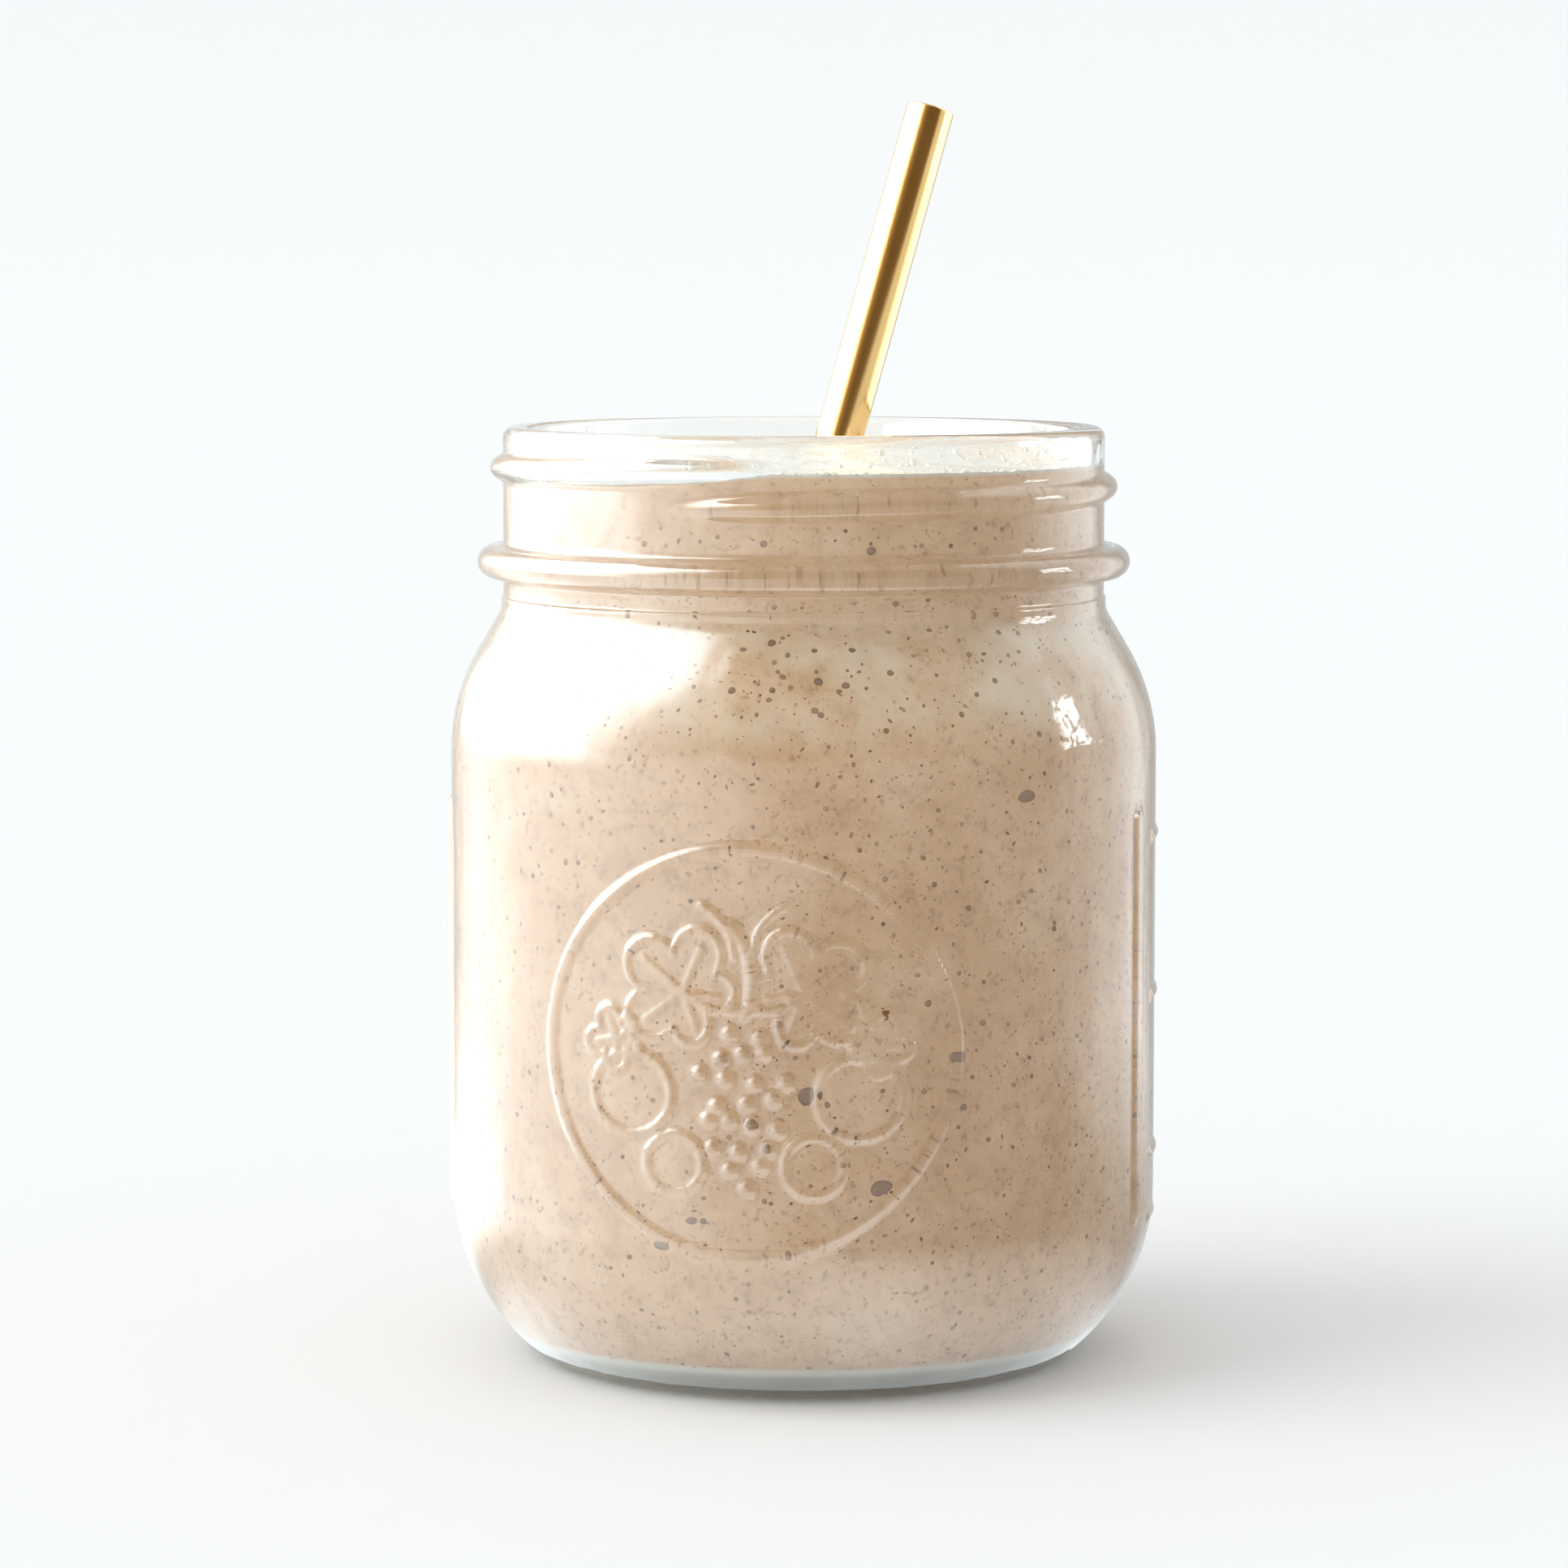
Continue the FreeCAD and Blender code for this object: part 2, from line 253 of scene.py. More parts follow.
def object_axes(tree):
    """A place on the piece as x, y and z in metres."""
    where = tree.nodes.new("ShaderNodeTexCoord")
    split = tree.nodes.new("ShaderNodeSeparateXYZ")
    tree.links.new(where.outputs["Object"], split.inputs["Vector"])
    return split.outputs["X"], split.outputs["Y"], split.outputs["Z"]


def bump(tree, shader, height, distance):
    node = tree.nodes.new("ShaderNodeBump")
    node.inputs["Distance"].default_value = distance
    tree.links.new(height, node.inputs["Height"])
    tree.links.new(node.outputs["Normal"], shader.inputs["Normal"])


# %% [markdown]
# ## The jar's profile
#
# A canning jar is pressed and blown in a mould, so its section is arcs joined by straight runs: the
# foot ring, a long heel, the straight body, the shoulder, the neck with its carrying bead, and the
# lip. The same sizes as the built solid are used, in millimetres, and the inside repeats the
# outside's curves one wall further in.

# %% Jar sizes
jar_top = jar_high.z / MM
body_radius = 43.25
heel_radius, heel_top, foot_curve = 25.5, 21.0, 7.0
foot_ring_width, push_up, push_up_curve = 3.4, 2.0, 1.5
shoulder_radius, shoulder_slope = 25.0, 30.5
neck_start = jar_top - 21.405
neck_radius, neck_curve, step_rise = 36.75, 3.0, 0.22
mould_line = jar_top - 20.6
bead_height, bead_radius, bead_nose, bead_fillet = jar_top - 16.4, 39.9, 1.9, 0.7
lip_outer_curve, lip_inner_curve = 1.3, 1.0
inner_body_radius, inner_neck_radius, inner_neck_curve = 40.45, 33.6, 8.0
floor_height, floor_curve = 4.8, 4.0
body_wall = body_radius - inner_body_radius


def climb(radius, neck, blend):
    """How far the shoulder climbs from the body to the neck."""
    slope = math.radians(shoulder_slope)
    middle = body_radius - shoulder_radius
    run = middle + (radius - middle) * math.cos(slope) - neck - blend * (1 - math.cos(slope))
    return (radius - middle + blend) * math.sin(slope) + run / math.tan(slope)


shoulder_start = neck_start - climb(body_radius, neck_radius + step_rise, neck_curve)
print("shoulder starts %.2f mm up" % shoulder_start)


def wall(radius, heel, floor, curve, neck, blend, steps):
    """The arcs that the inside and the outside share, from the floor up."""
    heel_middle = body_radius - heel_radius
    drop = heel_top - floor - curve
    reach = math.sqrt((heel - curve) ** 2 - drop ** 2)
    leave = -math.degrees(math.atan2(drop, reach))
    middle = body_radius - shoulder_radius
    neck_from = shoulder_start + climb(radius, neck, blend)
    return [
        arc((heel_middle + reach, floor + curve), curve, -90, leave, steps),
        arc((heel_middle, heel_top), heel, leave, 0, steps * 4),
        arc((middle, shoulder_start), radius - middle, 0, shoulder_slope, steps * 2),
        arc((neck + blend, neck_from), blend, 180 + shoulder_slope, 180, steps),
    ]


# %% Jar profile
def outside():
    """From the middle of the underside up to the top of the lip."""
    shared = wall(body_radius, heel_radius, 0.0, foot_curve, neck_radius + step_rise, neck_curve, 7)
    foot_inner = shared[0][0][0] - foot_ring_width
    dome = foot_inner - push_up_curve
    fillet_r = neck_radius + bead_fillet
    nose_r = bead_radius - bead_nose
    under = [[(0, push_up), (dome - push_up, push_up)], arc((dome, 0), push_up_curve, 90, 0, 5)]
    upper = [
        arc((neck_radius, mould_line - step_rise), step_rise, 0, 90, 4),
        arc((fillet_r, bead_height - bead_nose - bead_fillet), bead_fillet, 180, 90, 4),
        arc((nose_r, bead_height), bead_nose, -90, 90, 14),
        arc((fillet_r, bead_height + bead_nose + bead_fillet), bead_fillet, 270, 180, 4),
        arc((neck_radius - lip_outer_curve, jar_top - lip_outer_curve), lip_outer_curve, 0, 90, 7),
    ]
    return chained(under + shared + upper, relief_row)


def inside(reach=0.0):
    """From the edge of the floor up to the inner neck, pushed out into the glass by reach."""
    pieces = wall(inner_body_radius + reach, heel_radius - body_wall + reach, floor_height - reach,
                  floor_curve + reach, inner_neck_radius + reach, inner_neck_curve - reach, 5)
    return chained(pieces, 4.0)


relief_row = 0.42
outer_profile = outside()
inner_lip = arc((inner_neck_radius + lip_inner_curve, jar_top - lip_inner_curve), lip_inner_curve, 90, 180, 5)
inner_profile = chained([inner_lip, inside()[::-1], [(0, floor_height)]], 3.0)
jar_profile = outer_profile + inner_profile
print("the jar's profile has", len(outer_profile), "rows outside and", len(inner_profile), "inside")

# %% [markdown]
# ## The relief
#
# The mould pressed a raised ring into the front, with a bunch of grapes, leaves and round fruit in it,
# and on each side a tall bar with volume marks. All of it is a height over the body's surface. It could
# be a bump in the material, but real relief bends what is seen through the glass and catches its own
# highlights, so the mesh carries it.
#
# Positions are measured in millimetres from the medallion's middle: across, round the jar, and up.

# %% Relief shapes
medallion_azimuth, medallion_height = math.radians(-9.5), 43.1
medallion_radius, medallion_ring_width, ring_edge, relief_rise = 23.9, 1.2, 0.55, 0.45
berry_radius, berry_rise, berry_rows = 1.3, 0.62, (2, 3, 4, 3, 4, 3, 2, 1)
berry_top, berry_step, berry_stray = 2.4, 3.05, 0.6
bar_azimuth, bar_width, bar_bottom, bar_top = math.radians(77.6), 3.6, 18.4, 69.2
mark_azimuth, mark_length, mark_width, mark_rise = math.radians(95.0), 13.0, 1.5, 0.35
mark_volumes = (60.0, 100.0, 200.0, 300.0)


def fill_heights(volumes):
    """The height in mm to which each volume in millilitres fills the jar."""
    rows = [(0.0, floor_height)] + inside()
    held, heights = [0.0], [floor_height]
    for (r, z), (next_r, next_z) in zip(rows, rows[1:]):
        slice_volume = math.pi / 3 * (r * r + r * next_r + next_r * next_r) * (next_z - z) / 1000
        held.append(held[-1] + slice_volume)
        heights.append(next_z)
    return [float(h) for h in np.interp(volumes, held, heights)]


mark_heights = fill_heights(mark_volumes)
print("volume marks stand at", [round(h, 1) for h in mark_heights], "mm")


def soft(edge, width):
    """1 where edge is well below zero, 0 well above, with a rounded step as wide as width."""
    t = np.clip(0.5 - edge / width, 0, 1)
    return t * t * (3 - 2 * t)


def ridge(distance, width):
    """A rounded ridge over the line where distance is zero."""
    return np.sqrt(np.clip(1 - (distance / (width / 2)) ** 2, 0, 1))


def berries(u, v):
    """A bunch of grapes: rows of small domes, each a little out of line."""
    height = np.zeros_like(u)
    for row, count in enumerate(berry_rows):
        for i in range(count):
            up = berry_top - row * berry_step * math.sqrt(3) / 2 + berry_stray * math.sin(5.1 * i + 3.7 * row)
            across = (i - (count - 1) / 2) * berry_step + berry_stray * math.sin(7.3 * i + 2.1 * row)
            near = np.clip(1 - ((u - across) ** 2 + (v - up) ** 2) / berry_radius ** 2, 0, 1)
            height = np.maximum(height, berry_rise * near ** 1.3)
    return height


leaf_edge_width, leaf_edge_rise, vein_rise, blade_rise = 1.15, 0.55, 0.42, 0.15
leaf_lobes = 2.4
fruit_rim_width, fruit_rim_rise, fruit_dome_rise, fruit_crown_rise = 1.2, 0.5, 0.3, 0.35
stem_rise = 0.55


def leaf(u, v, at_u, at_v, turn, length):
    """A vine leaf with five lobes: a raised outline, a low blade and a vein along each lobe."""
    du, dv = u - at_u, v - at_v
    distance = np.hypot(du, dv)
    angle = np.arctan2(du, dv) - math.radians(turn)
    angle = (angle + math.pi) % (2 * math.pi) - math.pi
    lobes = np.abs(np.cos(angle * leaf_lobes))
    outline = length * (0.52 + 0.4 * lobes ** 0.7) * (1 - 0.42 * (np.abs(angle) / math.pi) ** 3)
    blade = soft(distance - outline, 0.9)
    edge = ridge(distance - outline, leaf_edge_width)
    vein_step = math.pi / leaf_lobes
    from_vein = np.abs((angle + vein_step / 2) % vein_step - vein_step / 2) * distance
    veins = ridge(from_vein, 1.0) * soft(distance - outline * 0.82, 0.8)
    return np.maximum(blade_rise * blade, np.maximum(leaf_edge_rise * edge, vein_rise * veins))


def fruit(u, v, at_u, at_v, radius):
    """A round fruit: a raised rim, a low dome inside it and a small crown on top."""
    distance = np.hypot(u - at_u, v - at_v)
    dome = fruit_dome_rise * np.clip(1 - (distance / radius) ** 2, 0, 1)
    crown = fruit_crown_rise * ridge(np.hypot(u - at_u, (v - at_v - radius * 0.55) * 1.6) - 0.7, 0.7)
    rim = fruit_rim_rise * ridge(distance - radius, fruit_rim_width)
    return np.maximum(np.maximum(dome, crown), rim)


def stem(u, v, start, end, sway, width):
    """A stalk from start to end that sways to one side between them."""
    along_u, along_v = end[0] - start[0], end[1] - start[1]
    length = math.hypot(along_u, along_v)
    t = ((u - start[0]) * along_u + (v - start[1]) * along_v) / length ** 2
    off = ((u - start[0]) * along_v - (v - start[1]) * along_u) / length
    middle = sway * np.sin(np.clip(t, 0, 1) * math.pi)
    ends = soft(np.abs(t - 0.5) - 0.5, 0.08)
    return stem_rise * ridge(off - middle, width) * ends


# %% Relief as one height
leaf_length, leaf_side, leaf_up, leaf_turn = 8.6, 11.5, 9.5, 52.0
fruit_radius, fruit_side, fruit_down = 4.8, 13.4, 5.0
small_fruit_radius, small_fruit_side, small_fruit_down = 3.4, 8.2, 13.0


def medallion(u, v):
    """The whole picture inside the ring. The ring is flat on top with soft edges."""
    ring = np.abs(np.hypot(u, v) - medallion_radius) - medallion_ring_width / 2
    height = np.maximum(berries(u, v), relief_rise * soft(ring, ring_edge))
    height = np.maximum(height, stem(u, v, (0.3, 4.0), (-1.6, 15.5), 1.6, 1.5))
    for side in (1, -1):
        pieces = [
            leaf(u, v, side * leaf_side * 0.62, leaf_up * 0.75, side * leaf_turn, leaf_length),
            fruit(u, v, side * fruit_side, -fruit_down, fruit_radius),
            fruit(u, v, side * small_fruit_side, -small_fruit_down, small_fruit_radius),
            stem(u, v, (0.2, 5.2), (side * leaf_side * 0.62, leaf_up * 0.75), side * 0.8, 1.1),
            stem(u, v, (side * 1.0, 11.0), (side * 5.2, 17.5), side * -1.2, 0.9),
            leaf(u, v, side * 15.2, 1.2, side * 100.0, 4.2),
        ]
        for piece in pieces:
            height = np.maximum(height, piece)
    return height


def body_relief(azimuths, z):
    """The height of everything raised from the body, at one level."""
    across = azimuths - medallion_azimuth
    across = (across + math.pi) % (2 * math.pi) - math.pi
    up = z - medallion_height
    u = body_radius * np.sin(across)
    v = np.full_like(u, up)
    height = np.where(np.abs(across) < 0.65, medallion(u, v), 0.0)
    for side in (1, -1):
        round_bar = body_radius * (across - side * bar_azimuth)
        past_end = max(bar_bottom + bar_width / 2 - z, z - bar_top + bar_width / 2, 0.0)
        from_bar = np.hypot(round_bar, past_end) - bar_width / 2
        height = np.maximum(height, relief_rise * soft(from_bar + 0.35, 0.9))
        round_mark = np.abs(body_radius * (across - side * mark_azimuth)) - mark_length / 2
        for level in mark_heights:
            from_mark = np.maximum(round_mark, abs(z - level) - mark_width / 2)
            height = np.maximum(height, mark_rise * soft(from_mark + 0.3, 0.8))
    return height


# %% [markdown]
# ## The screw thread and the foot ring's knurls
#
# The lid's thread is one ridge that climbs once round the neck, with pointed ends. The foot ring is
# notched all the way round, so that a hot jar touches the table at small points only. Both are
# heights too: the thread stands out from the neck, and the notches lift the foot ring's edge.

# %% Thread and foot notches
thread_rise, thread_width, thread_pitch = 1.6, 3.3, 4.5
thread_start, thread_turn, thread_runout = math.radians(-25.0), math.radians(378.0), math.radians(26.0)
thread_low = jar_top - 8.7
notch_count, notch_depth, notch_radius, notch_reach = 120, 0.3, 29.6, 1.9
foot_edge, foot_top = 26.0, 1.5


def thread_height(azimuths, z):
    """How far the screw thread stands out, at one level."""
    height = np.zeros_like(azimuths)
    for lap in (0, 1):
        wound = (azimuths - thread_start) % (2 * math.pi) + lap * 2 * math.pi
        fade = np.clip(np.minimum(wound, thread_turn - wound) / thread_runout, 0, 1)
        size = np.sin(fade * math.pi / 2)
        half = thread_width / 2 * (0.45 + 0.55 * size) + 1e-6
        level = thread_low + thread_pitch * wound / (2 * math.pi)
        shape = np.clip(1 - ((z - level) / half) ** 2, 0, 1) ** 0.7
        height = np.maximum(height, np.where(wound <= thread_turn, thread_rise * size * shape, 0.0))
    return height


def foot_notch(azimuths, r):
    """How far the foot ring is lifted between its teeth."""
    ring = math.exp(-((r - notch_radius) / notch_reach) ** 2)
    return notch_depth * ring * (0.5 + 0.5 * np.cos(azimuths * notch_count))


# %% [markdown]
# ## The jar's mesh
#
# Columns stand every two degrees all round. Between the heel and the shoulder more are added where
# the medallion and the side bars are, and the foot ring gets six for every notch.

# %% Jar mesh
coarse = every(2.0)
foot_columns = every(0.5)
ring_span = np.radians(np.arange(-46.0, 28.0, 0.5))
bar_spans = [medallion_azimuth + side * bar_azimuth + np.radians(np.arange(-3.0, 3.01, 0.5))
             for side in (1, -1)]
mark_ends = [medallion_azimuth + side * mark_azimuth + end * mark_length / 2 / body_radius
             + np.radians(np.arange(-1.0, 1.01, 0.5)) for side in (1, -1) for end in (1, -1)]
fine = np.concatenate([coarse, ring_span, *bar_spans, *mark_ends])
fine = (fine + math.pi) % (2 * math.pi) - math.pi
fine = np.unique(np.round(fine, 9))
far_enough = np.concatenate([[True], np.diff(fine) > math.radians(0.12)])
fine = fine[far_enough | np.isin(fine, np.round(coarse, 9))]
relief_low, relief_high = 16.5, 71.5


def jar_columns(i):
    r, z = jar_profile[i]
    if i >= len(outer_profile):
        return coarse
    if relief_low < z < relief_high:
        return fine
    if z < foot_top and r > foot_edge:
        return foot_columns
    return coarse


def jar_place(azimuths, r, z, i):
    own_r, own_z = np.full_like(azimuths, r), np.full_like(azimuths, z)
    if i >= len(outer_profile):
        return own_r, own_z
    if relief_low < z < relief_high:
        own_r = own_r + body_relief(azimuths, z)
    if bead_height + bead_nose + bead_fillet < z < jar_top - lip_outer_curve:
        own_r = own_r + thread_height(azimuths, z)
    if z < foot_top and r > foot_edge:
        own_z = own_z + foot_notch(azimuths, r)
    return own_r, own_z


jar_glass = placed(turned("jar_glass", jar_profile, jar_columns, jar_place), "jar_glass")
print("jar_glass has", triangles(jar_glass), "triangles")

# %% [markdown]
# ## The glass
#
# Soda-lime glass is clear with a trace of green that shows in the thick base. Pressed glass is never
# quite flat: its skin ripples by some hundredths of a millimetre, and that breaks up every reflection.

# %% Glass material
glass, glass_tree, glass_shader = material(
    "clear_pressed_glass", Base_Color=(0.975, 0.985, 0.955, 1), Roughness=0.0, IOR=1.5, Transmission_Weight=1.0)
ripples = object_noise(glass_tree, 95.0, 2.0, 0.5, (1, 1, 0.6))
bump(glass_tree, glass_shader, ripples, 0.4 * MM)
jar_glass.data.materials.append(glass)

# %% [markdown]
# ## The milkshake
#
# A blended drink is opaque and creamy, and where it lies against the glass it shows faint clouds of
# lighter and darker beige. It reaches a little way into the wall, so that no gap shows between drink
# and glass. Its top is flat in the middle, a little mounded, and clings to the wall.

# %% Milkshake mesh
reach = 0.2
level = drink_high.z / MM
side_rows = inside(reach) + straight(inside(reach)[-1], (inner_neck_radius + reach, level + 0.35), 2.0)
top_radii = np.concatenate([[33.3, 32.8, 32.2, 31.5, 30.6, 29.6], np.arange(28.5, 1.0, -1.2), [0.0]])
noise_seed = 11
waves = np.random.default_rng(noise_seed).uniform(0, 2 * math.pi, (9, 2))


def top_height(azimuths, r):
    """The drink's surface over its level: mounded, clinging to the wall, and slightly uneven."""
    x, y = r * np.sin(azimuths), -r * np.cos(azimuths)
    uneven = np.zeros_like(x)
    for k, (turn, phase) in enumerate(waves):
        pitch = 17.0 / (1 + k * 0.9)
        along_wave = x * math.cos(turn) + y * math.sin(turn)
        uneven += 0.11 / (1 + 0.5 * k) * np.sin(along_wave * 6.28 / pitch + phase)
    cling = 0.35 * math.exp(-(inner_neck_radius - r) / 0.8)
    return 0.4 * (1 - (r / inner_neck_radius) ** 2) + cling + uneven


drink_profile = [(0.0, floor_height - reach)] + side_rows + [(r, level) for r in top_radii]
first_top = len(drink_profile) - len(top_radii)


def drink_place(azimuths, r, z, i):
    own_z = np.full_like(azimuths, z)
    if i >= first_top:
        own_z = own_z + top_height(azimuths, r)
    return np.full_like(azimuths, r), own_z


milkshake = placed(turned("milkshake_body", drink_profile, lambda i: coarse, drink_place), "milkshake_body")
print("milkshake_body has", triangles(milkshake), "triangles")

# %% [markdown]
# ## The milkshake's colour
#
# From large to small: clouds, a finer grain, and dust too small to be a speck. A paler band lies under
# the bead. The top is pale foam, and part of its paleness is painted sheen that stands for the pale room
# mirrored there. The underside is painted near white: painted light for the light that the thick glass
# floor carries to it.

# %% Milkshake colours
cloud_tones = (0.34, (0.69, 0.455, 0.275)), (0.5, (0.76, 0.52, 0.33)), (0.68, (0.82, 0.605, 0.425))
grain_tones = (0.32, (0.80, 0.76, 0.72)), (0.47, (0.98, 0.975, 0.97)), (0.7, (1.06, 1.07, 1.08))
dust_tones = (0.60, (1.0, 1.0, 1.0)), (0.68, (0.78, 0.70, 0.62))
# Pale foam tones for the top; part of their paleness is painted sheen for the room mirrored there.
froth_and_sheen_tones = (0.35, (0.72, 0.66, 0.59)), (0.55, (0.83, 0.80, 0.75))
pale_tones = (0.36, (0, 0, 0)), (0.62, (0.85, 0.85, 0.85))
# The underside colour is painted light: near white where light would come in through the glass floor.
pale_colour, painted_light_underside_colour = (0.90, 0.78, 0.63, 1), (0.95, 0.93, 0.86, 1)

# %% Milkshake material
shake, shake_tree, shake_shader = material("milkshake_beige", Roughness=0.38, IOR=1.36)
clouds = ramp(shake_tree, object_noise(shake_tree, 75.0, 4.0, 0.6), *cloud_tones)
grain = ramp(shake_tree, object_noise(shake_tree, 430.0, 6.0, 0.75), *grain_tones)
dust = ramp(shake_tree, object_noise(shake_tree, 1250.0, 2.5, 0.55), *dust_tones)
froth_and_sheen = ramp(shake_tree, object_noise(shake_tree, 420.0, 4.0, 0.7), *froth_and_sheen_tones)
patches = ramp(shake_tree, object_noise(shake_tree, 120.0, 3.0), *pale_tones)
drink_z = object_axes(shake_tree)[2]

band_foot = step(shake_tree, drink_z, 76.0 * MM, 83.5 * MM)
band_head = step(shake_tree, drink_z, 95.5 * MM, 89.0 * MM)
band = maths(shake_tree, "MULTIPLY", maths(shake_tree, "MULTIPLY", band_foot, band_head), patches)
surface = step(shake_tree, drink_z, drink_high.z - 0.2 * MM, drink_high.z + 0.3 * MM, "LINEAR")
# Painted light: the drink's bottom face turns near white.
underside = step(shake_tree, drink_z, 5.6 * MM, 5.0 * MM, "LINEAR")

beige = mixed(shake_tree, 1.0, clouds, mixed(shake_tree, 1.0, grain, dust, "MULTIPLY"), "MULTIPLY")
beige = mixed(shake_tree, band, beige, pale_colour)
# The top takes the pale tones: partly real foam, partly painted sheen.
beige = mixed(shake_tree, surface, beige, froth_and_sheen)
beige = mixed(shake_tree, underside, beige, painted_light_underside_colour)
shake_tree.links.new(beige, shake_shader.inputs["Base Color"])
bump(shake_tree, shake_shader, object_noise(shake_tree, 1300.0, 2.0, 0.6), 0.06 * MM)
milkshake.data.materials.append(shake)

# %% [markdown]
# ## Scattering with Geometry Nodes
#
# Specks, air bubbles and foam are all one idea: many small copies of a shape, set on the drink's
# surface at random, each with its own size and turn. A particle system would do, but its copies are
# lost on export. Geometry Nodes end in Realize Instances, so what comes out is a plain mesh.
#
# Where they crowd is painted on the drink as a number per point, which the tree reads by name.

# %% Scatter tree
def scatter_tree(name, shape):
    """A tree that sets flattened copies of a shape on a surface. shape adds the copy's own nodes."""
    tree = bpy.data.node_groups.new(name, "GeometryNodeTree")
    face = tree.interface
    face.new_socket(name="Geometry", in_out="OUTPUT", socket_type="NodeSocketGeometry")
    face.new_socket(name="Geometry", in_out="INPUT", socket_type="NodeSocketGeometry")
    face.new_socket(name="Crowding", in_out="INPUT", socket_type="NodeSocketString")
    for label in ("Most Per Square Metre", "Nearest", "Smallest", "Largest", "Evenness", "Thickness",
                  "Narrowest"):
        face.new_socket(name=label, in_out="INPUT", socket_type="NodeSocketFloat")
    face.new_socket(name="Seed", in_out="INPUT", socket_type="NodeSocketInt")
    face.new_socket(name="Finish", in_out="INPUT", socket_type="NodeSocketMaterial")
    nodes, links = tree.nodes, tree.links
    given = nodes.new("NodeGroupInput")
    result = nodes.new("NodeGroupOutput")

    crowding = nodes.new("GeometryNodeInputNamedAttribute")
    crowding.data_type = "FLOAT"
    links.new(given.outputs["Crowding"], crowding.inputs["Name"])
    spread = nodes.new("GeometryNodeDistributePointsOnFaces")
    spread.distribute_method = "POISSON"
    links.new(given.outputs["Geometry"], spread.inputs["Mesh"])
    links.new(given.outputs["Nearest"], spread.inputs["Distance Min"])
    links.new(given.outputs["Most Per Square Metre"], spread.inputs["Density Max"])
    links.new(crowding.outputs["Attribute"], spread.inputs["Density Factor"])
    links.new(given.outputs["Seed"], spread.inputs["Seed"])

    def drawn(low, high, seed_step):
        """A random number for each point between two plain numbers or tree inputs."""
        node = nodes.new("FunctionNodeRandomValue")
        node.data_type = "FLOAT"
        set_or_link(tree, node.inputs[2], low)
        set_or_link(tree, node.inputs[3], high)
        links.new(maths(tree, "ADD", given.outputs["Seed"], float(seed_step)), node.inputs["Seed"])
        return node.outputs[1]

    smallest, largest = given.outputs["Smallest"], given.outputs["Largest"]
    share = maths(tree, "POWER", drawn(0.0, 1.0, 1), given.outputs["Evenness"])
    extra = maths(tree, "MULTIPLY", share, maths(tree, "SUBTRACT", largest, smallest))
    size = maths(tree, "ADD", extra, smallest)
    narrow = maths(tree, "MULTIPLY", size, drawn(given.outputs["Narrowest"], 1.0, 2))
    thick = maths(tree, "MULTIPLY", narrow, given.outputs["Thickness"])
    scale = nodes.new("ShaderNodeCombineXYZ")
    links.new(size, scale.inputs["X"])
    links.new(narrow, scale.inputs["Y"])
    links.new(thick, scale.inputs["Z"])

    spin = nodes.new("FunctionNodeAxisAngleToRotation")
    spin.inputs["Axis"].default_value = (0, 0, 1)
    links.new(drawn(0.0, 2 * math.pi, 3), spin.inputs["Angle"])
    turn = nodes.new("FunctionNodeRotateRotation")
    turn.rotation_space = "LOCAL"
    links.new(spread.outputs["Rotation"], turn.inputs["Rotation"])
    links.new(spin.outputs["Rotation"], turn.inputs["Rotate By"])

    copies = nodes.new("GeometryNodeInstanceOnPoints")
    links.new(spread.outputs["Points"], copies.inputs["Points"])
    links.new(shape(nodes, links), copies.inputs["Instance"])
    links.new(turn.outputs["Rotation"], copies.inputs["Rotation"])
    links.new(scale.outputs["Vector"], copies.inputs["Scale"])
    real = nodes.new("GeometryNodeRealizeInstances")
    smooth = nodes.new("GeometryNodeSetShadeSmooth")
    finish = nodes.new("GeometryNodeSetMaterial")
    links.new(copies.outputs["Instances"], real.inputs["Geometry"])
    links.new(real.outputs["Geometry"], smooth.inputs["Geometry"])
    links.new(smooth.outputs["Geometry"], finish.inputs["Geometry"])
    links.new(given.outputs["Finish"], finish.inputs["Material"])
    links.new(finish.outputs["Geometry"], result.inputs["Geometry"])
    return tree


def ball(nodes, links):
    """A small ball of unit radius with few faces."""
    node = nodes.new("GeometryNodeMeshUVSphere")
    node.inputs["Segments"].default_value = 10
    node.inputs["Rings"].default_value = 5
    node.inputs["Radius"].default_value = 1.0
    return node.outputs["Mesh"]


def crumb(nodes, links):
    """A small twenty-sided crumb of unit radius."""
    node = nodes.new("GeometryNodeMeshIcoSphere")
    node.inputs["Subdivisions"].default_value = 1
    node.inputs["Radius"].default_value = 1.0
    return node.outputs["Mesh"]


def grown(name, host, tree, values):
    """Runs a tree on a copy of the host's mesh and returns what it makes, as a plain piece."""
    holder = placed(host.data.copy(), name + "_holder")
    modifier = holder.modifiers.new("grow", "NODES")
    modifier.node_group = tree
    for item in tree.interface.items_tree:
        if item.in_out == "INPUT" and item.name in values:
            modifier[item.identifier] = values[item.name]
    bpy.context.view_layer.update()
    ready = holder.evaluated_get(bpy.context.evaluated_depsgraph_get())
    piece = placed(bpy.data.meshes.new_from_object(ready), name)
    bpy.data.objects.remove(holder)
    print(name, "has", triangles(piece), "triangles")
    return piece


def painted(piece, name, rule):
    """Stores rule(r, z) on each point of a piece, both in mm."""
    co = np.array([v.co for v in piece.data.vertices]) / MM
    layer = piece.data.attributes.new(name, "FLOAT", "POINT")
    layer.data.foreach_set("value", np.asarray(rule(np.hypot(co[:, 0], co[:, 1]), co[:, 2]), np.float32))


